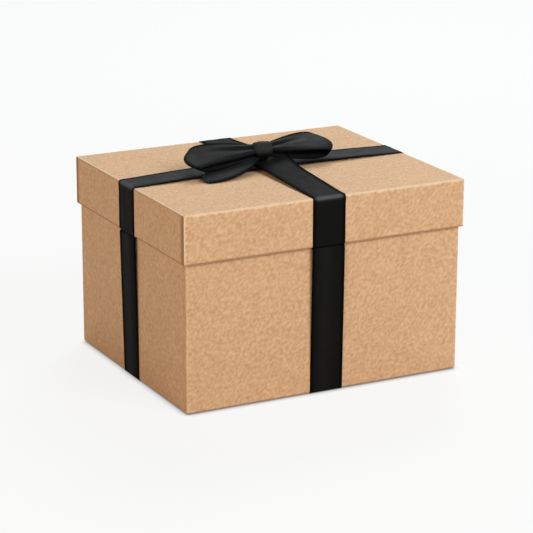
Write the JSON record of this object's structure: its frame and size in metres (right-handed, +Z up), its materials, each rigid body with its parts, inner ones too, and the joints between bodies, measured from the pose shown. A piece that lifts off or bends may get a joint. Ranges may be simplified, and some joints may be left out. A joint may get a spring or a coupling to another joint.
{
  "type": "gift box",
  "caption": "Rectangular kraft gift box with a lift-off telescoping lid, satin ribbon both ways round it and a bow on top.",
  "frame": {"origin": "on the surface it stands on, under the middle of the base", "axes": "+X along the longer front wall to the right, +Y from the front to the back, +Z up through the lid"},
  "size_m": [0.216, 0.181, 0.1604],
  "materials": {
    "greyboard": "uncoated grey pulp board",
    "stay_tape": "gummed brown paper tape",
    "kraft_paper": "matt uncoated kraft paper",
    "kraft_liner": "matt uncoated kraft paper",
    "black_satin": "woven satin with a soft sheen"
  },
  "bodies": {
    "base": {"base_floor_board": "greyboard", "base_front_board": "greyboard", "base_back_board": "greyboard", "base_left_board": "greyboard", "base_right_board": "greyboard", "base_corner_stays": "stay_tape", "base_wrap": "kraft_paper", "base_floor_liner": "kraft_liner", "base_underside_sheet": "kraft_liner", "base_ribbon_front": "black_satin", "base_ribbon_back": "black_satin", "base_ribbon_left": "black_satin", "base_ribbon_right": "black_satin"},
    "lid": {"lid_top_board": "greyboard", "lid_front_board": "greyboard", "lid_back_board": "greyboard", "lid_left_board": "greyboard", "lid_right_board": "greyboard", "lid_corner_stays": "stay_tape", "lid_wrap": "kraft_paper", "lid_top_liner": "kraft_liner", "lid_ribbon_long": "black_satin", "lid_ribbon_cross": "black_satin", "bow_left_loop": "black_satin", "bow_right_loop": "black_satin", "bow_left_tail": "black_satin", "bow_knot": "black_satin"}
  },
  "joints": [
    {"name": "lid_lift", "type": "slide", "parent": "base", "child": "lid", "axis": [0, 0, 1], "range_m": [0, 0.15]}
  ]
}
